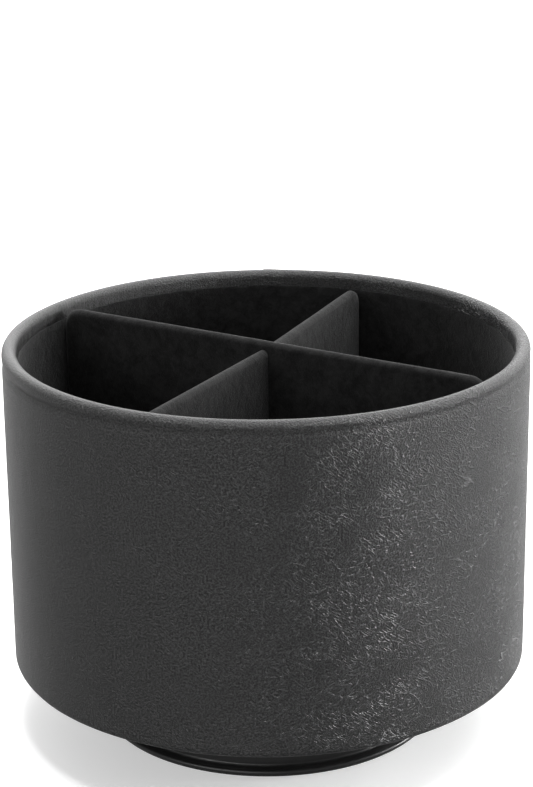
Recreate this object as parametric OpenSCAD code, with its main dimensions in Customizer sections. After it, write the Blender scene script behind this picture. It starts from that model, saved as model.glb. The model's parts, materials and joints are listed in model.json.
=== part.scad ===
// Rotating desk organizer: a round leather-covered cup with four compartments,
// on a low turntable that turns on a ring of steel balls.
// Millimetres, +Z up. The origin is on the axis, on the surface the organizer stands on.
// The long divider lies along X.

/* [Cup] */
// Overall diameter, over the leather
outer_d = 190; // [160:1:240]
// Height of the cup, from its underside to the top of its lip
cup_h = 120; // [90:1:160]
// Thickness of the rolled board in the wall
board_t = 3.4; // [2.8:0.1:5]
// Thickness of the leather
leather_t = 1.0; // [0.8:0.1:1.3]
// Thickness of the flannel-covered lining on the wall
lining_t = 1.2; // [0.8:0.1:2]
// Thickness of the bottom board
bottom_t = 5; // [4:0.1:8]
// Radius of the outer edge at the foot of the wall
foot_r = 2.1; // [1.6:0.1:3]
// How far the leather comes down inside the rim, from the top of the lip
hem_h = 6; // [5:0.5:15]
// Width of the leather turned in under the cup
turn_under = 12; // [8:0.5:20]

/* [Floor and dividers] */
// Thickness of the card under the floor lining
card_t = 1.2; // [0.8:0.1:2]
// Thickness of the flannel on the floor and the dividers
flannel_t = 0.8; // [0.5:0.1:1]
// Thickness of the board in each divider
divider_board_t = 2.4; // [1.8:0.1:4]
// How far the long divider stops below the lip
main_drop = 1.5; // [1:0.1:20]
// How far the two cross dividers stop below the lip
cross_drop = 4.4; // [2:0.1:40]
// Radius of the top corners of the dividers at the wall
corner_r = 7; // [4:0.5:15]
// How far the front cross divider is turned from square, in degrees
front_turn = 3; // [-12:0.5:12]
// How far the rear cross divider is turned from square, in degrees
rear_turn = 8; // [-12:0.5:12]

/* [Swivel base] */
// Diameter of the drum
drum_d = 119; // [100:1:150]
// Height of the base, from under its flange to its deck
drum_h = 14.7; // [12:0.1:20]
// How far the flange stands out from the drum
flange_w = 3.9; // [2:0.1:8]
// Thickness of the flange
flange_t = 2; // [1.6:0.1:4]
// Thickness of the moulded walls
shell_t = 2.2; // [1.6:0.1:3]
// Thickness of the ribs
rib_t = 1.8; // [1:0.1:3]
// Number of radial ribs under the base and under the turntable
rib_count = 8; // [8:4:16]
// Thickness of the turntable at its ball track
track_t = 5.4; // [4.5:0.1:8]
// Width of the anti-slip ring
pad_w = 6; // [4:0.5:8]
// Thickness of the anti-slip ring
pad_t = 1.5; // [1.2:0.1:2]
// How much of the anti-slip ring stands out below the base
pad_proud = 0.8; // [0.5:0.1:1.1]

/* [Bearing] */
// Diameter of the steel balls
ball_d = 6; // [4.8:0.1:7.5]
// Number of balls
ball_count = 16; // [6:1:20]
// Distance of the ball track inside the drum's face
track_inset = 14.5; // [13:0.5:20]
// Thickness of the ball cage
cage_t = 1.6; // [1:0.1:2]

/* [Pivot and screws] */
// Bore of the pivot bush
pivot_d = 8; // [7:0.1:10]
// Wall of the pivot bush
bush_wall = 1.5; // [1:0.1:2.5]
// Wall of the boss around the bush
boss_wall = 4; // [3:0.1:6]
// Thread diameter of the pivot screw
thread_d = 5; // [4:0.1:6]
// Width of the pivot nut across its flats
nut_af = 8; // [7:0.1:10]
// Height of the pivot nut
nut_h = 4; // [3:0.1:4.5]
// Head diameter of the pivot screw
head_d = 12; // [10.5:0.1:15]
// Head height of the pivot screw
head_h = 2.6; // [2:0.1:3]
// Diameter of the four plate screws
plate_screw_d = 3; // [2.4:0.1:3.6]
// Depth of the plate screws in the bottom board
plate_screw_grip = 3.8; // [2.5:0.1:4.5]

/* [Fits] */
// Glue line between pieces that are stuck together
glue_gap = 0.05; // [0.02:0.01:0.1]
// Radial clearance of the pivot screw in its bush
running_clearance = 0.04; // [0.01:0.01:0.1]
// Clearance of each ball to its two tracks
race_gap = 0.05; // [0.02:0.01:0.1]
// Clearance of a ball in its pocket in the cage
pocket_gap = 0.15; // [0.05:0.05:0.3]
// Gap between faces that turn past each other
turning_gap = 0.3; // [0.3:0.1:0.6]
// Open gap between the rims of the drum and the turntable
reveal_gap = 0.8; // [0.5:0.1:1.5]

/* [Hidden] */
$fn = 96;

leather_colour = "#434447";
flannel_colour = "#1d1d20";
board_colour = "#8d8272";
plastic_colour = "#1b1b1d";
steel_colour = "#b9bcc1";

// Base, from the surface up
drum_r = drum_d / 2;
flange_r = drum_r + flange_w;
base_z = pad_proud;
deck_z = base_z + drum_h;
foot_in_r = drum_r - shell_t - 2;
pad_out_r = flange_r - flange_t / 2 - 0.4;
pad_in_r = pad_out_r - pad_w;

// Ball track
ball_r = ball_d / 2;
track_r = drum_r - track_inset;
track_land = ball_r + 2;
groove_r = ball_r + 0.15;
groove_depth = ball_d / 4;
ball_z = deck_z - groove_depth + race_gap + ball_r;
under_track_z = ball_z + ball_r + race_gap - groove_depth;
deck_t = 2.5;
track_floor_z = deck_z - groove_depth - 3;
rib_z = base_z + 1.5;
rib_top_z = deck_z - deck_t + 0.5;
edge_r = 0.6;
fillet_r = 1;

// Turntable
cup_z = under_track_z + track_t;
plate_t = 2.5;
skirt_z = deck_z + reveal_gap;

// Pivot
bush_bore_r = pivot_d / 2;
bush_r = bush_bore_r + bush_wall;
bush_collar_r = bush_r + 2.5;
bush_collar_t = 1.2;
boss_r = bush_r + boss_wall;
head_z = base_z + 0.8;
washer_z = head_z + head_h;
washer_t = 1;
boss_z = washer_z + washer_t + turning_gap;
hub_z = deck_z + bush_collar_t + turning_gap;
nut_z = cup_z - nut_h - 0.1;
shoulder_r = bush_bore_r - running_clearance;

// Rings of ribs, and the plate screws between them
mid_ring_r = (boss_r + track_r - track_land) / 2;
plate_screw_r = (mid_ring_r + track_r - track_land) / 2;
plate_screw_z = cup_z - plate_t - 1.5;
screw_head_r = plate_screw_d;
screw_head_h = 1.7;
screw_boss_r = screw_head_r + 1.5;

// Cup wall: its middle radius and the full round of its lip
outer_r = outer_d / 2;
lip_r = board_t / 2 + leather_t;
wall_mid_r = outer_r - lip_r;
top_z = cup_z + cup_h;
lip_z = top_z - lip_r;
hem_z = top_z - hem_h;
turn_r = outer_r - turn_under;
board_in_r = wall_mid_r - board_t / 2;
lining_out_r = board_in_r;
lining_in_r = lining_out_r - lining_t;

// Cup floor
bottom_z = cup_z + leather_t + glue_gap;
card_z = bottom_z + bottom_t + glue_gap;
card_r = lining_in_r - 2 * glue_gap - flannel_t;
floor_z = card_z + card_t + glue_gap + flannel_t;

// Dividers
panel_half_t = divider_board_t / 2 + glue_gap + flannel_t;
panel_skin = glue_gap + flannel_t;
panel_end = lining_in_r - 0.3;
panel_z = floor_z + glue_gap;
main_top_z = top_z - main_drop;
cross_top_z = top_z - cross_drop;

// Upright ring with a plain rectangular section
module ring(r_in, r_out, z_low, z_high) {
    rotate_extrude()
        translate([r_in, z_low])
            square([r_out - r_in, z_high - z_low]);
}

// Flat-ended round bar between two heights
module bar(r, z_low, z_high) {
    translate([0, 0, z_low])
        cylinder(h = z_high - z_low, r = r);
}

// Copies round the axis
module around(count, first_angle = 0) {
    for (i = [0 : count - 1])
        rotate([0, 0, first_angle + i * 360 / count])
            children();
}

// Radial ribs between two radii
module ribs(r_in, r_out, z_low, z_high) {
    around(rib_count, 180 / rib_count)
        translate([r_in, -rib_t / 2, z_low])
            cube([r_out - r_in, rib_t, z_high - z_low]);
}

// Section of the finished cup wall, moved in by inset on every side
module wall_section(inset) {
    half = lip_r - inset;
    translate([wall_mid_r, lip_z])
        circle(r = half);
    translate([wall_mid_r - half, cup_z + foot_r])
        square([2 * half, lip_z - cup_z - foot_r]);
    translate([wall_mid_r - half, cup_z + inset])
        square([2 * half - foot_r + inset, foot_r - inset]);
    translate([outer_r - foot_r, cup_z + foot_r])
        circle(r = foot_r - inset);
}

// Leather over the outside of the wall, over the lip, and turned in under the foot
module leather_wrap() {
    color(leather_colour)
        rotate_extrude()
            difference() {
                union() {
                    wall_section(0);
                    translate([turn_r, cup_z])
                        square([wall_mid_r - turn_r, leather_t]);
                }
                wall_section(leather_t);
                translate([turn_r - 1, cup_z + leather_t])
                    square([board_in_r - turn_r + 1, hem_z - cup_z - leather_t]);
            }
}

// Rolled board tube that stiffens the wall
module wall_board() {
    color(board_colour)
        rotate_extrude()
            wall_section(leather_t + glue_gap);
}

// Bottom board, with pilot holes for the plate screws
module bottom_board() {
    color(board_colour)
        difference() {
            bar(board_in_r, bottom_z, bottom_z + bottom_t);
            around(4, 45)
                translate([plate_screw_r, 0, 0])
                    bar(plate_screw_d / 2 + glue_gap, bottom_z - 1, bottom_z + plate_screw_grip + 0.3);
        }
}

// Thin cover that fills the underside inside the turned leather
module underside_cover() {
    color(flannel_colour)
        difference() {
            bar(turn_r - 0.2, cup_z, cup_z + leather_t);
            around(4, 45)
                translate([plate_screw_r, 0, 0])
                    bar(plate_screw_d / 2 + 0.2, cup_z - 1, cup_z + leather_t + 1);
        }
}

// Flannel lining on the inside of the wall, from the bottom board up to the hem
module wall_lining() {
    color(flannel_colour)
        ring(lining_in_r, lining_out_r, card_z, hem_z - 0.2);
}

// Card disc that carries the floor lining
module floor_card() {
    color(board_colour)
        bar(card_r, card_z, card_z + card_t);
}

// Flannel over the card, turned down round its edge
module floor_lining() {
    color(flannel_colour)
        difference() {
            bar(card_r + glue_gap + flannel_t, card_z, floor_z);
            bar(card_r + glue_gap, card_z - 1, card_z + card_t + glue_gap);
        }
}

// Upright outline of a divider, with rounded top corners
module panel_outline(x_low, x_high, z_low, z_high, r) {
    translate([x_low, z_low])
        square([x_high - x_low, z_high - z_low - r]);
    translate([x_low + r, z_high - r])
        square([x_high - x_low - 2 * r, r]);
    for (x = [x_low + r, x_high - r])
        translate([x, z_high - r])
            circle(r = r);
}

// Flat board of a divider, lying in the XZ plane
module flat_panel(x_low, x_high, z_low, z_high, half_t, r) {
    rotate([90, 0, 0])
        linear_extrude(height = 2 * half_t, center = true)
            panel_outline(x_low, x_high, z_low, z_high, r);
}

// Divider with its top edge and its two upright edges rounded over
module soft_panel(x_low, x_high, z_low, z_high, half_t, r) {
    intersection() {
        flat_panel(x_low, x_high, z_low, z_high, half_t, r);
        rotate([90, 0, 90])
            translate([0, 0, x_low])
                linear_extrude(height = x_high - x_low) {
                    translate([-half_t, z_low])
                        square([2 * half_t, z_high - z_low - half_t]);
                    translate([0, z_high - half_t])
                        circle(r = half_t);
                }
        translate([0, 0, z_low])
            linear_extrude(height = z_high - z_low) {
                translate([x_low + half_t, -half_t])
                    square([x_high - x_low - 2 * half_t, 2 * half_t]);
                for (x = [x_low + half_t, x_high - half_t])
                    translate([x, 0])
                        circle(r = half_t);
            }
    }
}

// Board inside a divider that runs between two ends
module divider_board(x_low, x_high, z_high) {
    flat_panel(x_low + panel_skin, x_high - panel_skin, panel_z, z_high - panel_skin,
               divider_board_t / 2, corner_r - panel_skin);
}

// Flannel sleeve over a divider's board, open at the bottom
module divider_cover(x_low, x_high, z_high) {
    difference() {
        soft_panel(x_low, x_high, panel_z, z_high, panel_half_t, corner_r);
        flat_panel(x_low + flannel_t, x_high - flannel_t, panel_z - 1, z_high - flannel_t,
                   divider_board_t / 2 + glue_gap, corner_r - flannel_t);
    }
}

// What lies on one side of the long divider's face, side being 1 towards +Y or -1 towards -Y
module beside_main(side) {
    face = panel_half_t + glue_gap;
    intersection() {
        children();
        translate([-outer_r, side > 0 ? face : -face - outer_r, 0])
            cube([2 * outer_r, outer_r, top_z]);
    }
}

module main_divider_board() {
    color(board_colour)
        divider_board(-panel_end, panel_end, main_top_z);
}

module main_divider_cover() {
    color(flannel_colour)
        divider_cover(-panel_end, panel_end, main_top_z);
}

module front_divider_board() {
    color(board_colour)
        beside_main(-1)
            rotate([0, 0, front_turn - 90])
                divider_board(-outer_r / 2, panel_end, cross_top_z);
}

module front_divider_cover() {
    color(flannel_colour)
        beside_main(-1)
            rotate([0, 0, front_turn - 90])
                divider_cover(-outer_r / 2, panel_end, cross_top_z);
}

module rear_divider_board() {
    color(board_colour)
        beside_main(1)
            rotate([0, 0, rear_turn + 90])
                divider_board(-outer_r / 2, panel_end, cross_top_z);
}

module rear_divider_cover() {
    color(flannel_colour)
        beside_main(1)
            rotate([0, 0, rear_turn + 90])
                divider_cover(-outer_r / 2, panel_end, cross_top_z);
}

// Section of the turntable: plate, skirt, ball track, ring of ribs and hub
module turntable_section() {
    difference() {
        union() {
            translate([thread_d / 2 + 0.1, cup_z - plate_t])
                square([drum_r - thread_d / 2 - 0.1, plate_t]);
            translate([drum_r - shell_t, skirt_z + edge_r])
                square([shell_t, cup_z - plate_t - skirt_z]);
            translate([drum_r - shell_t, skirt_z])
                square([shell_t - edge_r, 2 * edge_r]);
            translate([drum_r - edge_r, skirt_z + edge_r])
                circle(r = edge_r);
            translate([track_r - track_land, under_track_z])
                square([2 * track_land, cup_z - 1 - under_track_z]);
            translate([mid_ring_r - rib_t / 2, under_track_z + 1])
                square([rib_t, cup_z - 2 - under_track_z]);
            translate([thread_d / 2 + 0.1, hub_z])
                square([boss_r - thread_d / 2 - 0.1, cup_z - 1 - hub_z]);
        }
        translate([track_r, ball_z + ball_r + race_gap - groove_r])
            circle(r = groove_r);
    }
}

// Moulded turntable that is screwed under the cup, with a pocket for the pivot nut
module turntable_plate() {
    rib_low = under_track_z + 1;
    rib_high = cup_z - plate_t + 0.5;
    color(plastic_colour)
        difference() {
            union() {
                rotate_extrude()
                    turntable_section();
                ribs(boss_r - 1, track_r - track_land + 1, rib_low, rib_high);
                ribs(track_r + track_land - 1, drum_r - 1, rib_low, rib_high);
                around(4, 45)
                    translate([plate_screw_r, 0, 0])
                        bar(screw_boss_r, plate_screw_z, cup_z - 1);
            }
            translate([0, 0, nut_z])
                cylinder(h = nut_h + 1, d = (nut_af + 0.2) / cos(30), $fn = 6);
            around(4, 45)
                translate([plate_screw_r, 0, 0]) {
                    bar(plate_screw_d / 2 + 0.2, plate_screw_z - 1, cup_z + 1);
                    translate([0, 0, plate_screw_z - 0.01])
                        cylinder(h = screw_head_h + 0.1, r1 = screw_head_r + 0.15,
                                 r2 = plate_screw_d / 2 + 0.15);
                }
        }
}

// Four countersunk screws from under the turntable into the bottom board
module turntable_screws() {
    color(steel_colour)
        around(4, 45)
            translate([plate_screw_r, 0, 0])
                difference() {
                    union() {
                        translate([0, 0, plate_screw_z])
                            cylinder(h = screw_head_h, r1 = screw_head_r, r2 = plate_screw_d / 2);
                        bar(plate_screw_d / 2, plate_screw_z + 1, bottom_z + plate_screw_grip);
                    }
                    for (a = [0, 90])
                        rotate([0, 0, a])
                            translate([-1.4, -0.35, plate_screw_z - 1])
                                cube([2.8, 0.7, 2]);
                }
}

// Flat ring that keeps the balls evenly apart
module bearing_cage() {
    color("#d9d8d2")
        difference() {
            ring(track_r - track_land - 0.5, track_r + track_land + 0.5,
                 ball_z - cage_t / 2, ball_z + cage_t / 2);
            around(ball_count)
                translate([track_r, 0, 0])
                    bar(ball_r + pocket_gap, ball_z - cage_t, ball_z + cage_t);
        }
}

module bearing_balls() {
    color(steel_colour)
        around(ball_count)
            translate([track_r, 0, ball_z])
                sphere(r = ball_r);
}

// Shoulder screw on the axis: its head is below the base, and its thread is in the nut
module pivot_screw() {
    color(steel_colour)
        difference() {
            union() {
                bar(head_d / 2, head_z, washer_z);
                bar(shoulder_r, washer_z - 1, hub_z);
                bar(thread_d / 2, hub_z - 1, nut_z + nut_h - 0.2);
            }
            translate([0, 0, head_z - 1])
                cylinder(h = head_h, d = 5 / cos(30), $fn = 6);
        }
}

module pivot_washer() {
    color(steel_colour)
        ring(bush_bore_r + 0.1, head_d / 2 + 1.5, washer_z, washer_z + washer_t);
}

module pivot_nut() {
    color(steel_colour)
        difference() {
            translate([0, 0, nut_z])
                cylinder(h = nut_h, d = nut_af / cos(30), $fn = 6);
            bar(thread_d / 2 + 0.03, nut_z - 1, cup_z);
        }
}

// Collared bush pushed into the base: the pivot screw turns in it
module pivot_bush() {
    color("#c9a45c")
        rotate_extrude() {
            translate([bush_bore_r, boss_z])
                square([bush_wall, hub_z - turning_gap - boss_z]);
            translate([bush_bore_r, deck_z])
                square([bush_collar_r - bush_bore_r, bush_collar_t]);
        }
}

// Section of the base: flange, drum, deck with the lower ball track, boss and rings of ribs
module base_section() {
    flange_top = base_z + flange_t;
    bore_r = bush_r + 0.02;
    difference() {
        union() {
            // flange and foot, with a full round edge
            translate([foot_in_r, base_z])
                square([flange_r - flange_t / 2 - foot_in_r, flange_t]);
            translate([flange_r - flange_t / 2, base_z + flange_t / 2])
                circle(r = flange_t / 2);
            // drum wall, rounded at the deck and filleted at the flange
            translate([drum_r - shell_t, base_z])
                square([shell_t, drum_h - edge_r]);
            translate([drum_r - shell_t, base_z])
                square([shell_t - edge_r, drum_h]);
            translate([drum_r - edge_r, deck_z - edge_r])
                circle(r = edge_r);
            difference() {
                translate([drum_r - 0.5, flange_top - 0.5])
                    square(fillet_r + 0.5);
                translate([drum_r + fillet_r, flange_top + fillet_r])
                    circle(r = fillet_r);
            }
            // deck, thicker under the track, and the boss for the bush
            translate([bore_r, deck_z - deck_t])
                square([drum_r - 1 - bore_r, deck_t]);
            translate([track_r - track_land, track_floor_z])
                square([2 * track_land, deck_z - track_floor_z]);
            translate([bore_r, boss_z])
                square([boss_r - bore_r, deck_z - boss_z]);
            for (r = [mid_ring_r, track_r - track_land + rib_t, track_r + track_land - rib_t])
                translate([r - rib_t / 2, rib_z + 0.5])
                    square([rib_t, rib_top_z - rib_z - 0.5]);
        }
        translate([track_r, ball_z - ball_r - race_gap + groove_r])
            circle(r = groove_r);
        translate([pad_in_r - glue_gap, 0])
            square([pad_w + 2 * glue_gap, pad_t + glue_gap]);
    }
}

// Moulded base with radial ribs underneath
module base_shell() {
    color(plastic_colour) {
        rotate_extrude()
            base_section();
        ribs(boss_r - 1, drum_r - 1, rib_z, rib_top_z);
    }
}

// Rubber ring glued into the groove under the flange
module antislip_ring() {
    color("#26262a")
        ring(pad_in_r, pad_out_r, 0, pad_t);
}

leather_wrap();
wall_board();
bottom_board();
underside_cover();
wall_lining();
floor_card();
floor_lining();
main_divider_board();
main_divider_cover();
front_divider_board();
front_divider_cover();
rear_divider_board();
rear_divider_cover();
turntable_plate();
turntable_screws();
bearing_cage();
bearing_balls();
pivot_screw();
pivot_washer();
pivot_nut();
pivot_bush();
base_shell();
antislip_ring();
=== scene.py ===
"""Looks of the rotating desk organizer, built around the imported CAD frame. Metres, +Z up.

The leather, the flannel lining, the floor lining and the three divider sleeves are meshes made here.
Everything else is the CAD node with a procedural material.
"""

import json
import math

import bmesh
import bpy
import numpy as np
from mathutils import Matrix, Vector, noise


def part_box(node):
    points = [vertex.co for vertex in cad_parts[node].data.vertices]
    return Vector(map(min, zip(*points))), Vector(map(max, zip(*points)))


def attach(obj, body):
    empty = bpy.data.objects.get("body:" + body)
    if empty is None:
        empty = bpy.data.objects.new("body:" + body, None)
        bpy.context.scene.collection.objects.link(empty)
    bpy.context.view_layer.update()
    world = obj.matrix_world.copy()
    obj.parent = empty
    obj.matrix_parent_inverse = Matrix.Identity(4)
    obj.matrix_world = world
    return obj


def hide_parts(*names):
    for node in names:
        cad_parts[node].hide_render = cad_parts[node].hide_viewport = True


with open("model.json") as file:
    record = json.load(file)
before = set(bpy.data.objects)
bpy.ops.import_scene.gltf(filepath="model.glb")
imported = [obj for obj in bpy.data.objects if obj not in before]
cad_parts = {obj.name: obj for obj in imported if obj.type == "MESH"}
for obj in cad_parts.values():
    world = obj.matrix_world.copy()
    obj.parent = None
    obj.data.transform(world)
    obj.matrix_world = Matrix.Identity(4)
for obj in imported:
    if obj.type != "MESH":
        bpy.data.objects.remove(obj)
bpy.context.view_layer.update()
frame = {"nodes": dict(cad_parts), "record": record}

MM = 0.001

# ---------------------------------------------------------------- sizes, from the frame
leather_low, leather_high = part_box("leather_wrap")
OUTER_R = leather_high.x
CUP_Z = leather_low.z
TOP_Z = leather_high.z
LEATHER_T = 1.0 * MM
FOOT_R = 2.1 * MM
TURN_UNDER = 12 * MM
HEM_H = 6 * MM
BOARD_T = 3.4 * MM
LIP_R = BOARD_T / 2 + LEATHER_T
WALL_MID_R = OUTER_R - LIP_R
SEAM_ANGLE = math.radians(122)  # where the leather laps over itself, at the back
SEAM_LAP = 11 * MM
HOLLOW_ANGLE = math.radians(-133)  # where the hollow under the lip is deepest
UPPER_Z = CUP_Z + 50 * MM  # the rim and the hem lie above this, the foot below it
GAP = 0.05 * MM  # kept between a covering and the piece next to it
CORNER_R = 7 * MM  # of the dividers' upper corners
SHARP_ANGLE = math.radians(38)  # folds sharper than this are shaded as edges
MIDDLE = Vector((0, 0, 0.08))  # what the softboxes are aimed at

# The camera looks at the organizer from this turn about Z, counted from -Y
CAMERA_TURN = math.radians(31.7)


# ---------------------------------------------------------------- mesh helpers
def mesh_object(name, verts, faces, uvs=None, u_period=0.0):
    """A smooth-shaded mesh object from arrays; uvs holds one (u, v) for each vertex.

    Where u runs round and starts again, faces across the join carry on past u_period.
    """
    me = bpy.data.meshes.new(name)
    me.from_pydata(np.asarray(verts).tolist(), [], [tuple(f) for f in faces])
    me.validate()
    if uvs is not None:
        layer = me.uv_layers.new(name="Surface")
        loops = np.zeros(len(me.loops), np.int32)
        me.loops.foreach_get("vertex_index", loops)
        uv = np.asarray(uvs, np.float32)[loops]
        if u_period:
            u = uv[:, 0].reshape(-1, 4)
            u[(u < u.max(1, keepdims=True) - u_period / 2)] += u_period
            uv[:, 0] = u.ravel()
        layer.data.foreach_set("uv", uv.ravel())
    me.polygons.foreach_set("use_smooth", np.ones(len(me.polygons), bool))
    me.set_sharp_from_angle(angle=SHARP_ANGLE)
    ob = bpy.data.objects.new(name, me)
    bpy.context.scene.collection.objects.link(ob)
    return ob


def grid_faces(rows, cols, wrap_rows=False, wrap_cols=False, start=0, flip=False):
    """Quads of a rows x cols grid of vertices, joined end to end where asked."""
    r = np.arange(rows if wrap_rows else rows - 1)
    c = np.arange(cols if wrap_cols else cols - 1)
    R, C = np.meshgrid(r, c, indexing="ij")
    R1, C1 = (R + 1) % rows, (C + 1) % cols
    quads = np.stack([R * cols + C, R * cols + C1, R1 * cols + C1, R1 * cols + C], -1)
    quads = quads.reshape(-1, 4) + start
    return quads[:, ::-1] if flip else quads


def soft_noise(points, scale, octaves, seed):
    """Smooth fractal noise, about -1 to 1, at each point; scale is in cells per unit of the points."""
    increment, lacunarity = 0.8, 2.0
    shift = Vector((seed * 3.1, seed * 1.7, seed * 2.3))
    return np.array([noise.fractal(Vector(p) * scale + shift, increment, lacunarity, octaves)
                     for p in points])


def smoothstep(x, low, high):
    """0 up to low, 1 from high on, smooth between."""
    t = np.clip((x - low) / (high - low), 0, 1)
    return t * t * (3 - 2 * t)


def revolve(name, profile, angles, shift):
    """Closed ring from profile, a closed loop of (r, z); shift(r, z, a) gives its points' new (r, z).

    The UV map runs in metres: u round the outside from the first angle, v along the profile.
    """
    a = np.asarray(angles)
    p = np.asarray(profile, float)
    R, A = np.meshgrid(p[:, 0], a, indexing="ij")
    Z = np.repeat(p[:, 1][:, None], len(a), 1)
    R, Z = shift(R, Z, A)
    verts = np.stack([R * np.cos(A), R * np.sin(A), Z], -1).reshape(-1, 3)
    # the faces look outward whichever way the loop runs
    after = np.roll(p, -1, axis=0)
    clockwise = (p[:, 0] * after[:, 1] - after[:, 0] * p[:, 1]).sum() < 0
    faces = grid_faces(len(p), len(a), wrap_rows=True, wrap_cols=True, flip=clockwise)
    run = np.concatenate([[0], np.cumsum(np.hypot(*np.diff(p, axis=0).T))])
    uv = np.stack([(A - a[0]) * OUTER_R, np.repeat(run[:, None], len(a), 1)], -1).reshape(-1, 2)
    return mesh_object(name, verts, faces, uv, u_period=2 * math.pi * OUTER_R)


def full_turn(count):
    return np.linspace(0, 2 * math.pi, count, endpoint=False)


# ---------------------------------------------------------------- node helpers
def node(tree, kind, inputs=None, **settings):
    """Adds a node. Each input is a value, or the output socket of another node."""
    n = tree.nodes.new(kind)
    for key, value in settings.items():
        setattr(n, key, value)
    for key, value in (inputs or {}).items():
        if isinstance(value, bpy.types.NodeSocket):
            tree.links.new(value, n.inputs[key])
        else:
            n.inputs[key].default_value = value
    return n


def math_node(tree, operation, a, b=0.0, c=0.0):
    return node(tree, "ShaderNodeMath", {0: a, 1: b, 2: c}, operation=operation).outputs[0]


def between(tree, value, low, high, to_low=0.0, to_high=1.0):
    """value mapped smoothly from low..high to to_low..to_high."""
    inputs = {"Value": value, "From Min": low, "From Max": high, "To Min": to_low, "To Max": to_high}
    return node(tree, "ShaderNodeMapRange", inputs, interpolation_type="SMOOTHSTEP").outputs["Result"]


def mix_colour(tree, factor, a, b):
    n = node(tree, "ShaderNodeMix", data_type="RGBA")
    for socket, value in ((n.inputs[0], factor), (n.inputs[6], a), (n.inputs[7], b)):
        if isinstance(value, bpy.types.NodeSocket):
            tree.links.new(value, socket)
        else:
            socket.default_value = value
    return n.outputs[2]


def grey(v, tint=(1.0, 1.0, 1.0)):
    return (v * tint[0], v * tint[1], v * tint[2], 1.0)


def new_material(name, **shader):
    """A material with a Principled shader; returns it with its tree and the shader node."""
    mat = bpy.data.materials.new(name)
    mat.use_nodes = True
    tree = mat.node_tree
    bsdf = tree.nodes["Principled BSDF"]
    for key, value in shader.items():
        bsdf.inputs[key.replace("_", " ")].default_value = value
    return mat, tree, bsdf


def surface_uv(tree):
    return node(tree, "ShaderNodeUVMap", uv_map="Surface").outputs["UV"]


def object_place(tree):
    return node(tree, "ShaderNodeTexCoord").outputs["Object"]


def noise_value(tree, place, scale, detail=2.0, roughness=0.5, distortion=0.0, dims="3D"):
    inputs = {"Vector": place, "Scale": scale, "Detail": detail, "Roughness": roughness,
              "Distortion": distortion}
    return node(tree, "ShaderNodeTexNoise", inputs, noise_dimensions=dims).outputs["Fac"]


def bump(tree, height, distance):
    return node(tree, "ShaderNodeBump", {"Height": height, "Distance": distance}).outputs["Normal"]


# ---------------------------------------------------------------- materials
def along(tree, uv, degrees, stretch):
    """UV turned and squeezed, so that a texture on it is drawn out along one direction."""
    inputs = {"Vector": uv, "Rotation": (0, 0, math.radians(degrees)), "Scale": (stretch, 1, 1)}
    return node(tree, "ShaderNodeMapping", inputs, vector_type="TEXTURE").outputs[0]


def wrinkles(tree, place, scale, width, warp):
    """A net of fine ridges along the edges of warped cells, 1 on a ridge and 0 between.

    scale is in cells per metre; width and warp are parts of a cell.
    """
    across = 4  # v is warped more than u, since along() draws u out
    wander = node(tree, "ShaderNodeTexNoise", {"Vector": place, "Scale": scale * 0.5, "Detail": 2},
                  noise_dimensions="2D").outputs["Color"]
    shift = node(tree, "ShaderNodeVectorMath", {0: wander, 1: (warp / scale, across * warp / scale, 0)},
                 operation="MULTIPLY").outputs[0]
    moved = node(tree, "ShaderNodeVectorMath", {0: place, 1: shift}, operation="ADD").outputs[0]
    cells = node(tree, "ShaderNodeTexVoronoi", {"Vector": moved, "Scale": scale},
                 voronoi_dimensions="2D", feature="DISTANCE_TO_EDGE").outputs["Distance"]
    return between(tree, cells, 0.0, width, 1.0, 0.0)


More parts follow.
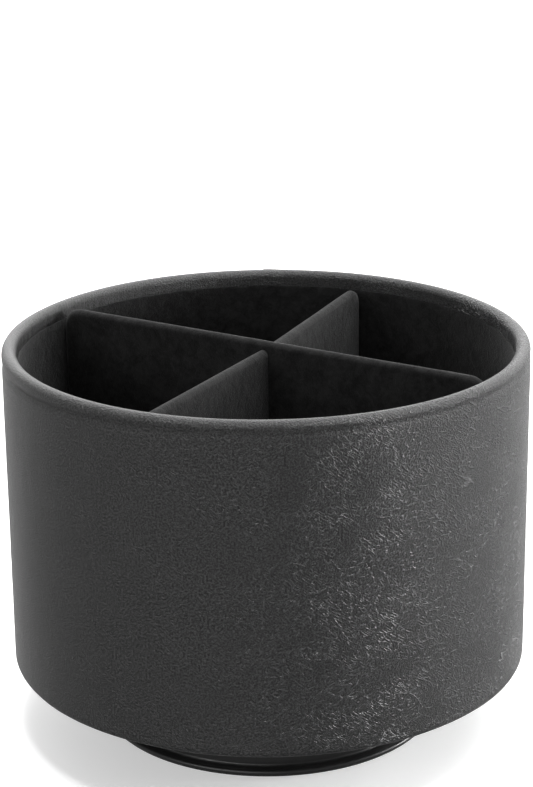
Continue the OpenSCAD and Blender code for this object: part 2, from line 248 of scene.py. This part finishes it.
def leather_material():
    """Charcoal artificial leather: fine grain, short slanting creases in drifts, a few long creases.

    Texture scales are in cells per metre, as the UV map is in metres.
    """
    mat, tree, bsdf = new_material("charcoal_leather", Specular_IOR_Level=0.5)
    uv = surface_uv(tree)
    # calm islands lie in bands that are more creased
    bands = wrinkles(tree, along(tree, uv, 16, 1.7), 46, 0.38, warp=0.5)
    drift = noise_value(tree, uv, 90, detail=3, roughness=0.6, distortion=0.5, dims="2D")
    crackled = math_node(tree, "MULTIPLY_ADD", bands, 0.75, between(tree, drift, 0.35, 0.65, 0.04, 0.50))
    # counted from the seam, creasing is least at 75 degrees and most at 255
    angle = math_node(tree, "DIVIDE", node(tree, "ShaderNodeSeparateXYZ", {0: uv}).outputs["X"], OUTER_R)
    side = math_node(tree, "SINE", math_node(tree, "SUBTRACT", angle, math.radians(165)))
    amount = math_node(tree, "MULTIPLY_ADD", side, 0.43, 0.57)
    # the short creases slant one way in some patches and the other way in the rest
    lean = between(tree, noise_value(tree, uv, 70, detail=2, dims="2D"), 0.42, 0.58)
    falling = wrinkles(tree, along(tree, uv, -34, 4.6), 1150, 0.20, warp=0.25)
    rising = wrinkles(tree, along(tree, uv, 28, 4.6), 1200, 0.20, warp=0.25)
    strokes = node(tree, "ShaderNodeMix", {0: lean, 2: falling, 3: rising}).outputs[0]
    broken = between(tree, noise_value(tree, uv, 620, detail=2, dims="2D"), 0.42, 0.64, 0.08, 1.0)
    strokes = math_node(tree, "MULTIPLY", strokes, math_node(tree, "MULTIPLY", broken, amount))
    strokes = math_node(tree, "MULTIPLY", strokes, crackled)
    grain = noise_value(tree, uv, 1500, detail=3, roughness=0.7, dims="2D")

    # long creases follow the level lines of a slow noise, here and there
    slow = noise_value(tree, along(tree, uv, -24, 3.0), 60, detail=2, distortion=0.4, dims="2D")
    level = math_node(tree, "ABSOLUTE", math_node(tree, "SUBTRACT", slow, 0.5))
    crease = between(tree, level, 0.0, 0.010, 1.0, 0.0)
    crease_where = between(tree, noise_value(tree, uv, 90, detail=2, dims="2D"), 0.53, 0.62)
    crease_where = math_node(tree, "MULTIPLY", crease_where, math_node(tree, "POWER", amount, 3.0))
    crease = math_node(tree, "MULTIPLY", crease, crease_where)

    height = math_node(tree, "MULTIPLY_ADD", strokes, 1.2, math_node(tree, "MULTIPLY", grain, 0.9))
    height = math_node(tree, "MULTIPLY_ADD", crease, 0.9, height)
    height = math_node(tree, "MULTIPLY", height, between(tree, amount, 0.0, 1.0, 0.75, 1.0))
    tree.links.new(bump(tree, height, 0.5 * MM), bsdf.inputs["Normal"])

    # the crests of the creases are painted paler: partly wear, partly a painted highlight, strongest on the
    # side that the right-hand lights rake, where amount peaks
    crest_wear_and_highlight = math_node(tree, "MULTIPLY", strokes, amount)
    crest_wear_and_highlight = math_node(tree, "MAXIMUM", crest_wear_and_highlight, math_node(tree, "MULTIPLY", crease, 0.6))
    crest_wear_and_highlight = math_node(tree, "MULTIPLY", crest_wear_and_highlight, amount)
    ground = mix_colour(tree, between(tree, grain, 0.40, 0.62), grey(0.001), grey(0.029))
    tree.links.new(mix_colour(tree, crest_wear_and_highlight, ground, grey(0.12, (1.0, 1.0, 1.02))),
                   bsdf.inputs["Base Color"])
    tree.links.new(between(tree, height, 0.2, 1.3, 0.38, 0.25), bsdf.inputs["Roughness"])
    return mat


def flannel_material():
    """Black brushed flannel: short nap, brushed to and fro in soft patches."""
    mat, tree, bsdf = new_material("black_flannel", Roughness=0.95, Specular_IOR_Level=0.12,
                                   Sheen_Weight=0.10, Sheen_Roughness=0.5)
    place = object_place(tree)
    nap = noise_value(tree, place, 1500, detail=3, roughness=0.7, distortion=0.6)
    tufts = noise_value(tree, place, 300, detail=3, roughness=0.65, distortion=0.5)
    brushed = noise_value(tree, place, 90, detail=3, roughness=0.6, distortion=1.2)
    height = math_node(tree, "MULTIPLY_ADD", tufts, 1.5, nap)
    tree.links.new(bump(tree, height, 0.25 * MM), bsdf.inputs["Normal"])
    shade = math_node(tree, "MULTIPLY_ADD", tufts, 0.6, math_node(tree, "MULTIPLY", nap, 0.35))
    shade = math_node(tree, "MULTIPLY_ADD", brushed, 0.5, shade)
    colour = mix_colour(tree, between(tree, shade, 0.50, 0.96), grey(0.0035), grey(0.016))
    tree.links.new(colour, bsdf.inputs["Base Color"])
    return mat


def plastic_material():
    """Black moulded plastic, semi-gloss, with faint moulding ripple and handling marks."""
    mat, tree, bsdf = new_material("black_plastic", IOR=1.5)
    place = object_place(tree)
    texture = noise_value(tree, place, 1900, detail=2)
    ripple = noise_value(tree, place, 55, detail=1)
    height = math_node(tree, "MULTIPLY_ADD", ripple, 2.0, texture)
    tree.links.new(bump(tree, height, 0.02 * MM), bsdf.inputs["Normal"])
    marks = noise_value(tree, place, 90, detail=4, roughness=0.7, distortion=1.5)
    tree.links.new(between(tree, marks, 0.35, 0.7, 0.34, 0.48), bsdf.inputs["Roughness"])
    colour = mix_colour(tree, marks, grey(0.008), grey(0.014))
    tree.links.new(colour, bsdf.inputs["Base Color"])
    return mat


def rubber_material():
    """Dull black rubber with a little dust on it."""
    mat, tree, bsdf = new_material("black_rubber", Specular_IOR_Level=0.3)
    place = object_place(tree)
    dust = noise_value(tree, place, 240, detail=4, roughness=0.7)
    tree.links.new(bump(tree, noise_value(tree, place, 3000, detail=1), 0.03 * MM), bsdf.inputs["Normal"])
    tree.links.new(mix_colour(tree, dust, grey(0.012), grey(0.03)), bsdf.inputs["Base Color"])
    tree.links.new(between(tree, dust, 0.3, 0.7, 0.75, 0.92), bsdf.inputs["Roughness"])
    return mat


def board_material():
    """Grey-brown pressed board with visible fibres."""
    mat, tree, bsdf = new_material("pressed_board", Roughness=0.9)
    place = object_place(tree)
    stretched = node(tree, "ShaderNodeMapping", {"Vector": place, "Scale": (1.0, 1.0, 0.25)}).outputs[0]
    fibres = noise_value(tree, stretched, 900, detail=4, roughness=0.65, distortion=1.0)
    blotches = noise_value(tree, place, 60, detail=3)
    shade = math_node(tree, "MULTIPLY_ADD", fibres, 0.6, math_node(tree, "MULTIPLY", blotches, 0.4))
    dark, light = grey(0.20, (1.0, 0.9, 0.76)), grey(0.42, (1.0, 0.9, 0.78))
    colour = mix_colour(tree, between(tree, shade, 0.35, 0.65), dark, light)
    tree.links.new(colour, bsdf.inputs["Base Color"])
    tree.links.new(bump(tree, fibres, 0.08 * MM), bsdf.inputs["Normal"])
    return mat


def steel_material(name, low_rough, high_rough, value):
    """Bright steel with fine turning marks."""
    mat, tree, bsdf = new_material(name, Metallic=1.0)
    place = object_place(tree)
    marks = noise_value(tree, place, 1400, detail=3, roughness=0.6)
    tree.links.new(between(tree, marks, 0.3, 0.7, low_rough, high_rough), bsdf.inputs["Roughness"])
    tree.links.new(mix_colour(tree, marks, grey(value * 0.85), grey(value)), bsdf.inputs["Base Color"])
    tree.links.new(bump(tree, marks, 0.01 * MM), bsdf.inputs["Normal"])
    return mat


def nylon_material():
    """Uncoloured nylon, slightly cloudy."""
    mat, tree, bsdf = new_material("natural_nylon", Roughness=0.5, Subsurface_Weight=0.1)
    place = object_place(tree)
    cloud = noise_value(tree, place, 120, detail=3)
    light, dark = grey(0.72, (1.0, 0.98, 0.92)), grey(0.60, (1.0, 0.96, 0.86))
    tree.links.new(mix_colour(tree, cloud, dark, light), bsdf.inputs["Base Color"])
    tree.links.new(bump(tree, noise_value(tree, place, 1500), 0.02 * MM), bsdf.inputs["Normal"])
    return mat


def bronze_material():
    """Porous sintered bronze."""
    mat, tree, bsdf = new_material("sintered_bronze", Metallic=1.0)
    place = object_place(tree)
    pores = noise_value(tree, place, 2200, detail=2)
    light, dark = grey(0.62, (1.0, 0.72, 0.38)), grey(0.38, (1.0, 0.68, 0.34))
    tree.links.new(mix_colour(tree, pores, dark, light), bsdf.inputs["Base Color"])
    tree.links.new(between(tree, pores, 0.3, 0.7, 0.3, 0.5), bsdf.inputs["Roughness"])
    tree.links.new(bump(tree, pores, 0.03 * MM), bsdf.inputs["Normal"])
    return mat


MATERIALS = {
    "leather": leather_material(),
    "flannel": flannel_material(),
    "board": board_material(),
    "moulded_plastic": plastic_material(),
    "steel": steel_material("zinc_plated_steel", 0.28, 0.42, 0.58),
    "ball_steel": steel_material("polished_steel", 0.06, 0.14, 0.66),
    "cage_nylon": nylon_material(),
    "bush_metal": bronze_material(),
    "rubber": rubber_material(),
}


def dress_cad_nodes():
    """Each CAD node gets the material of its slot in the record."""
    for part in frame["record"]["subparts"]:
        ob = frame["nodes"][part["node"]]
        ob.data.materials.clear()
        ob.data.materials.append(MATERIALS[part["material_slot"]])


def finish_piece(ob, slot, *nodes):
    """A piece of the cup that stands for CAD nodes."""
    ob.data.materials.append(MATERIALS[slot])
    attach(ob, "cup")
    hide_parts(*nodes)


# ---------------------------------------------------------------- leather
def arc(centre, radius, start_deg, end_deg, steps):
    """Points and outward normals along an arc in the (r, z) plane."""
    t = np.radians(np.linspace(start_deg, end_deg, steps + 1))
    n = np.stack([np.cos(t), np.sin(t)], -1)
    return np.asarray(centre) + radius * n, n


def straight(a, b, normal, step):
    """Points from a to b without the last one, with one normal for all."""
    count = max(1, round(math.dist(a, b) / step))
    t = np.linspace(0, 1, count, endpoint=False)[:, None]
    pts = np.asarray(a) * (1 - t) + np.asarray(b) * t
    return pts, np.repeat([normal], count, 0)


def leather_path():
    """The leather's outer face in section, from its turned-in edge round to its hem."""
    # rows lie closer together under the foot and in the zone below the lip
    close, wide, lip_zone = 0.8 * MM, 1.15 * MM, 14 * MM
    turn_r = OUTER_R - TURN_UNDER
    foot = (OUTER_R - FOOT_R, CUP_Z + FOOT_R)
    lip = (WALL_MID_R, TOP_Z - LIP_R)
    hem = (WALL_MID_R - LIP_R, TOP_Z - HEM_H)
    parts = [
        straight((turn_r, CUP_Z), (foot[0], CUP_Z), (0, -1), close),
        arc(foot, FOOT_R, -90, 0, 6),
        straight((OUTER_R, foot[1] + 0.6 * MM), (OUTER_R, lip[1] - lip_zone), (1, 0), wide),
        straight((OUTER_R, lip[1] - lip_zone), (OUTER_R, lip[1]), (1, 0), close),
        arc(lip, LIP_R, 0, 180, 18),
        straight((hem[0], lip[1] - 0.5 * MM), hem, (-1, 0), 0.5 * MM),
        (np.array([hem]), np.array([(-1.0, 0.0)])),
    ]
    return np.concatenate([p for p, _ in parts]), np.concatenate([n for _, n in parts])


def leather_relief(points, angle, radius, z):
    """How far the leather's face stands proud, in metres.

    It has a hollow under the rolled lip, slow waves, wrinkles and the lap of the seam. Heights are
    worked out in millimetres.
    """
    below = TOP_Z - z
    wall = smoothstep(below, 0.5 * MM, 3.2 * MM) * smoothstep(radius, OUTER_R - 4 * MM, OUTER_R - 1 * MM)
    uneven = soft_noise(points, 14, 2, seed=1)
    # the hollow under the rolled lip is lowest and deepest on one side
    lean = np.clip(np.cos(angle - HOLLOW_ANGLE), 0, 1) ** 2
    hollow_at = (3.9 + 1.9 * lean) * MM
    hollow_width = 1.15 * MM
    hollow_depth = 0.42 + 0.36 * lean + 0.07 * uneven
    hollow = -hollow_depth * np.exp(-(((below - hollow_at) / hollow_width) ** 2))
    waves = 0.09 * soft_noise(points * [1, 1, 0.6], 26, 2, seed=2)
    upright = soft_noise(points * [1, 1, 0.16], 210, 2, seed=3)
    upright_where = smoothstep(soft_noise(points, 22, 2, seed=4), -0.15, 0.45)
    cross = soft_noise(points * [1, 1, 2.2], 120, 3, seed=5)
    relief = wall * (hollow + waves + 0.045 * upright * upright_where + 0.035 * cross)
    around = (angle - SEAM_ANGLE + math.pi) % (2 * math.pi) - math.pi
    across = around * OUTER_R
    lap = smoothstep(across, -SEAM_LAP, 0) * (1 - smoothstep(across, 0, 0.7 * MM))
    ridge = 0.32 * lap * smoothstep(radius, WALL_MID_R, OUTER_R - 1.5 * MM)
    return (relief + ridge) * MM


def edge_wander(angle):
    """How far a cut edge wanders from its line, in metres, going one way only."""
    ring = np.stack([np.cos(angle), np.sin(angle), 0 * angle], -1)
    return np.abs(soft_noise(ring, 7, 3, seed=8)) * 0.35 * MM


def build_leather():
    path, normals = leather_path()
    # columns are closer together at the lap seam, so that its edge is crisp
    fine = np.linspace(0, 1.6, 9) * MM / OUTER_R
    angles = SEAM_ANGLE + np.unique(np.round(np.concatenate([full_turn(550), fine]), 6))
    # the face against the board is plain, so every sixth row does, taken the other way
    back = slice(None, None, -6)
    inner = path[back] - normals[back] * LEATHER_T
    if not np.allclose(path[0], path[back][-1]):
        inner = np.concatenate([inner, path[:1] - normals[:1] * LEATHER_T])
    rows = len(path)
    profile = np.concatenate([path, inner])
    lip_z = TOP_Z - LIP_R

    def shift(R, Z, A):
        r, z, a = R[:rows].ravel(), Z[:rows].ravel(), A[:rows].ravel()
        pts = np.stack([r * np.cos(a), r * np.sin(a), z], -1)
        n_r = np.repeat(normals[:, 0][:, None], A.shape[1], 1).ravel()
        n_z = np.repeat(normals[:, 1][:, None], A.shape[1], 1).ravel()
        out = leather_relief(pts, a, r, z)
        # the hem inside the rim is gathered into short upright puckers that grow towards its edge
        inside = smoothstep(WALL_MID_R - r, 1.2 * MM, 2.6 * MM) * (z > UPPER_Z)
        depth = smoothstep(TOP_Z - z, 1.0 * MM, HEM_H)
        ring = np.stack([np.cos(a), np.sin(a), z * 2.0], -1)
        pucker = soft_noise(ring, 26, 3, seed=6)
        out += inside * (0.10 + 0.20 * depth) * pucker * MM
        # pleats in the leather that is turned in under the foot
        under = smoothstep(CUP_Z + FOOT_R - z, 1.7 * MM, 2.05 * MM)
        inward = smoothstep(OUTER_R - FOOT_R - r, 0, 6 * MM)
        pleat = 0.5 + 0.5 * soft_noise(np.stack([np.cos(a), np.sin(a), r * 0], -1), 9, 3, seed=7)
        out += under * inward * 0.22 * pleat * MM
        R[:rows] = (r + n_r * out).reshape(R[:rows].shape)
        Z[:rows] = (z + n_z * out).reshape(Z[:rows].shape)
        # the two cut edges wander a little
        edge = edge_wander(A[0])
        low_hem = (Z < lip_z - 1.5 * MM) & (R < WALL_MID_R) & (Z > UPPER_Z)
        Z[:] = np.where(low_hem, Z + edge, Z)
        turned = (Z < CUP_Z + LEATHER_T + 0.1 * MM) & (R < OUTER_R - TURN_UNDER + 3 * MM)
        R[:] = np.where(turned, R + edge, R)
        return R, Z

    ob = revolve("leather_cover", profile, angles, shift)
    finish_piece(ob, "leather", "leather_wrap")


# ---------------------------------------------------------------- flannel
def build_wall_lining():
    """Flannel inside the wall: a soft rolled top edge under the hem and slow ripples."""
    low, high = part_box("wall_lining")
    r_out = high.x
    r_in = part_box("floor_lining")[1].x + GAP
    roll = (r_out - r_in) / 2
    top_z = TOP_Z - HEM_H - GAP
    heights = np.linspace(low.z, top_z - roll, 44)
    t = np.radians(np.linspace(180, 0, 9))
    top = np.stack([r_in + roll + roll * np.cos(t), top_z - roll + roll * np.sin(t)], -1)
    face = np.stack([np.full(len(heights), r_in), heights], -1)[:-1]
    back = np.array([[r_out, high.z - 20 * MM], [r_out, low.z + 20 * MM], [r_out, low.z]])
    profile = np.concatenate([face, top, back])

    def shift(R, Z, A):
        pts = np.stack([R * np.cos(A), R * np.sin(A), Z], -1).reshape(-1, 3)
        ripple = soft_noise(pts, 30, 3, seed=11).reshape(R.shape) * 0.12 * MM
        inner = R < r_out - roll
        # the top edge follows the leather's hem
        Z = Z + edge_wander(A[0]) * smoothstep(Z, top_z - 3 * MM, top_z - roll)
        return np.where(inner, R - np.abs(ripple), R), Z

    ob = revolve("flannel_wall_lining", profile, full_turn(480), shift)
    finish_piece(ob, "flannel", "wall_lining")


def build_floor_lining():
    """Flannel on the floor: turned down over the edge of its card, and a little uneven."""
    low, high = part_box("floor_lining")
    card_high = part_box("floor_card")[1]
    edge_r = high.x
    pocket_r = card_high.x + GAP
    pocket_z = card_high.z + GAP
    round_r = 0.7 * MM
    middle_r = 0.4 * MM  # of the pinhole in the middle, out of sight under the long divider
    radii = np.concatenate([[middle_r], np.linspace(2 * MM, edge_r - round_r, 60)])
    t = np.radians(np.linspace(90, 0, 7))
    top = np.stack([radii, np.full(len(radii), high.z)], -1)[:-1]
    rim = np.stack([edge_r - round_r + round_r * np.cos(t), high.z - round_r + round_r * np.sin(t)], -1)
    under = np.array([[edge_r, low.z], [pocket_r, low.z], [pocket_r, pocket_z], [middle_r, pocket_z]])
    profile = np.concatenate([top, rim, under])

    def shift(R, Z, A):
        pts = np.stack([R * np.cos(A), R * np.sin(A), Z], -1).reshape(-1, 3)
        ripple = np.abs(soft_noise(pts, 40, 3, seed=12)).reshape(R.shape) * 0.15 * MM
        upper = (Z > high.z - 0.1 * MM) & (R < edge_r - 3 * MM)
        return R, np.where(upper, Z - ripple, Z)

    ob = revolve("flannel_floor_lining", profile, full_turn(240), shift)
    finish_piece(ob, "flannel", "floor_lining")


def sleeve_skin(x, z, ends, top, half_t, corner_r, round_low):
    """Front half of a sleeve's skin on the grid x by z: its X, Y and Z, Y rounding to 0 at the outline."""
    X, Z = np.meshgrid(x, z, indexing="ij")
    low, high = ends
    away = np.minimum(high - X, top - Z)
    corners = [(1, high)]
    if round_low:
        away = np.minimum(away, X - low)
        corners.append((-1, low))
    for side, edge in corners:
        cx, cz = edge - side * corner_r, top - corner_r
        u, v = (X - cx) * side / corner_r, (Z - cz) / corner_r
        at = (u > 0) & (v > 0)
        uu, vv = np.where(at, u, 0), np.where(at, v, 0)
        px, pz = uu * np.sqrt(1 - vv**2 / 2), vv * np.sqrt(1 - uu**2 / 2)
        X = np.where(at, cx + side * corner_r * px, X)
        Z = np.where(at, cz + corner_r * pz, Z)
        away = np.where(at, corner_r * (1 - np.hypot(px, pz)), away)
    q = np.clip(away / half_t, 0, 1)
    return X, half_t * np.sqrt(np.clip(1 - (1 - q) ** 2, 0, 1)), Z


def build_sleeve(name, node_name, ends, top, angle, round_low):
    """Flannel sleeve of a divider: rounded top and ends, a little uneven, open underneath."""
    half_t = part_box("main_divider_cover")[1].y
    board_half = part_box("main_divider_board")[1].y
    skin = half_t - board_half - GAP
    z_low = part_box(node_name)[0].z
    step = 1.6 * MM
    edge = half_t * (1 - np.cos(np.radians(np.arange(0, 91, 15))))
    low, high = ends
    x = np.concatenate([low + edge if round_low else [low],
                        np.arange(low + half_t + step, high - half_t - 1.4 * MM, step),
                        (high - edge)[::-1]])
    z = np.concatenate([np.linspace(z_low, top - half_t - step, 60), (top - edge)[::-1]])
    sides = []  # the outer face, then the inner one
    for inset in (0.0, skin):
        lo = low + (inset if round_low else 0)
        fit_x = np.interp(x, [low, high], [lo, high - inset])
        fit_z = np.interp(z, [z_low, top], [z_low, top - inset])
        X, Y, Z = sleeve_skin(fit_x, fit_z, (lo, high - inset), top - inset, half_t - inset,
                              CORNER_R - inset, round_low)
        sides.append((X, Y, Z))
    n, m = len(x), len(z)
    verts, faces = [], []
    for k, (X, Y, Z) in enumerate(sides):
        for sign in (1, -1):
            pts = np.stack([X, sign * Y, Z], -1).reshape(-1, 3)
            if k == 0:
                wave = soft_noise(pts, 34, 3, seed=20 + len(name)) * 0.10 * MM
                pts[:, 1] -= sign * np.abs(wave) * (Y.ravel() / half_t)
                pts[:, 2] -= np.abs(wave) * (pts[:, 2] > top - half_t)
            faces.append(grid_faces(n, m, start=len(verts) * n * m, flip=(sign < 0) ^ (k == 1)))
            verts.append(pts)
    # strips close the open edges between the two faces, on each half
    for half in (0, 1):
        outer, inner = half * n * m, (2 + half) * n * m
        rims = [np.arange(n) * m]
        if not round_low:
            rims.append(np.arange(m))
        for turn, rim in enumerate(rims):
            a, b = rim[:-1], rim[1:]
            quads = np.stack([a + outer, b + outer, b + inner, a + inner], -1)
            faces.append(quads[:, ::-1] if (half + turn) % 2 else quads)
    pts = np.concatenate(verts)
    if not round_low:
        # the end at the long divider is cut along that divider's face
        pts[:, 0] += (-pts[:, 1] / math.tan(angle)) * np.clip(1 - (pts[:, 0] - low) / (8 * MM), 0, 1)
    ob = mesh_object(name, pts, np.concatenate(faces))
    bm = bmesh.new()
    bm.from_mesh(ob.data)
    bmesh.ops.remove_doubles(bm, verts=bm.verts, dist=1e-7)
    bmesh.ops.recalc_face_normals(bm, faces=bm.faces)
    bm.to_mesh(ob.data)
    bm.free()
    ob.data.transform(Matrix.Rotation(angle, 4, "Z"))
    finish_piece(ob, "flannel", node_name)


def build_dividers():
    main_low, main_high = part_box("main_divider_cover")
    face = main_high.y + GAP
    build_sleeve("long_divider_sleeve", "main_divider_cover", (main_low.x, main_high.x), main_high.z,
                 0.0, True)
    # each cross divider is turned a few degrees from square
    for name, turn_deg, side in (("front", 3, -1), ("rear", 8, 1)):
        angle = math.radians(turn_deg + 90 * side)
        start = face * side / math.sin(angle)
        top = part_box(f"{name}_divider_cover")[1].z
        build_sleeve(f"{name}_divider_sleeve", f"{name}_divider_cover", (start, main_high.x), top,
                     angle, False)


# ---------------------------------------------------------------- camera, light, floor
def around_camera(azimuth_deg, elevation_deg, distance, target):
    """A place seen from target: azimuth 0 is on the camera's side, 90 is to its right."""
    a = math.radians(azimuth_deg) + CAMERA_TURN
    e = math.radians(elevation_deg)
    return target + distance * Vector((math.sin(a) * math.cos(e), -math.cos(a) * math.cos(e), math.sin(e)))


def softbox(name, azimuth, elevation, distance, width, height, power):
    """An area light aimed at the organizer; its power is in watts."""
    data = bpy.data.lights.new(name, "AREA")
    data.shape = "RECTANGLE"
    data.size, data.size_y, data.energy = width, height, power
    ob = bpy.data.objects.new(name, data)
    ob.location = around_camera(azimuth, elevation, distance, MIDDLE)
    ob.rotation_euler = (MIDDLE - ob.location).to_track_quat("-Z", "Y").to_euler()
    ob.visible_camera = False
    bpy.context.scene.collection.objects.link(ob)


def build_camera():
    """A long lens looking 18 degrees down, with a slight roll."""
    height, reach, roll = 0.3776, 0.7716, 0.0108
    down = math.radians(18.3)
    data = bpy.data.cameras.new("camera")
    data.sensor_width = 36
    data.lens = 102.3
    ob = bpy.data.objects.new("camera", data)
    turn = Matrix.Rotation(CAMERA_TURN, 4, "Z")
    tilt = Matrix.Rotation(math.pi / 2 - down, 4, "X")
    ob.matrix_world = turn @ Matrix.Translation((0, -reach, height)) @ tilt @ Matrix.Rotation(-roll, 4, "Z")
    bpy.context.scene.collection.objects.link(ob)
    bpy.context.scene.camera = ob


def build_floor():
    """Plain pale floor; from low down its edge is in view, and the world beyond it is white too."""
    half = 6.0
    corners = [(-half, -half, 0), (half, -half, 0), (half, half, 0), (-half, half, 0)]
    me = bpy.data.meshes.new("floor")
    me.from_pydata(corners, [], [(0, 1, 2, 3)])
    ob = bpy.data.objects.new("floor", me)
    bpy.context.scene.collection.objects.link(ob)
    mat, tree, bsdf = new_material("pale_floor", Roughness=0.8, Specular_IOR_Level=0.1)
    bsdf.inputs["Base Color"].default_value = grey(0.85)
    bsdf.inputs["Emission Color"].default_value = grey(1.0)
    bsdf.inputs["Emission Strength"].default_value = 0.36
    me.materials.append(mat)
    ob.visible_glossy = False  # as if the organizer were lit on a stand, clear of its white surroundings


def build_world():
    """Dim surroundings: brighter behind the organizer, so that its outline is lit, and dark below."""
    world = bpy.data.worlds.new("surroundings")
    bpy.context.scene.world = world
    world.use_nodes = True
    tree = world.node_tree
    direction = node(tree, "ShaderNodeTexCoord").outputs["Generated"]
    behind = around_camera(180, 0, 1.0, Vector((0, 0, 0)))
    facing = node(tree, "ShaderNodeVectorMath", {0: direction, 1: behind},
                  operation="DOT_PRODUCT").outputs["Value"]
    glow = between(tree, facing, 0.2, 1.1, 0.33, 1.15)
    drop = node(tree, "ShaderNodeSeparateXYZ", {0: direction}).outputs["Z"]
    glow = math_node(tree, "MULTIPLY", glow, between(tree, drop, -0.85, -0.45, 0.2, 1.0))
    # beyond the floor's edge the background itself is plain white
    seen = node(tree, "ShaderNodeLightPath").outputs["Is Camera Ray"]
    strength = node(tree, "ShaderNodeMix", {0: seen, 2: glow, 3: 1.0}).outputs[0]
    tree.links.new(strength, tree.nodes["Background"].inputs["Strength"])
    tree.nodes["Background"].inputs["Color"].default_value = grey(1.0)


def overhead(strength, spread_deg, azimuth, elevation):
    """A wide light from above, leaning to one side, that reaches the whole floor evenly."""
    data = bpy.data.lights.new("overhead", "SUN")
    data.energy = strength
    data.angle = math.radians(spread_deg)
    ob = bpy.data.objects.new("overhead", data)
    ob.location = around_camera(azimuth, elevation, 2.0, Vector((0, 0, 0)))
    ob.rotation_euler = (-ob.location).to_track_quat("-Z", "Y").to_euler()
    bpy.context.scene.collection.objects.link(ob)


def build_studio():
    overhead(3.3, 26, 105, 84)
    # name, azimuth, elevation, distance, width, height, power
    softbox("back_wall", 180, 26, 3.6, 5.0, 3.4, 98)
    softbox("front_fill", -34, 20, 2.0, 1.4, 0.6, 15)
    softbox("right_key", 92, 9, 0.9, 0.15, 0.20, 4)
    softbox("right_rake", 104, 14, 0.9, 0.15, 0.30, 5)
    softbox("right_high", 116, 50, 1.2, 0.5, 0.5, 5)
    softbox("rim_top", 196, 66, 1.6, 0.7, 0.5, 9)
    bpy.context.scene.view_settings.view_transform = "Standard"


build_camera()
build_floor()
build_world()
build_studio()
dress_cad_nodes()
build_leather()
build_wall_lining()
build_floor_lining()
build_dividers()
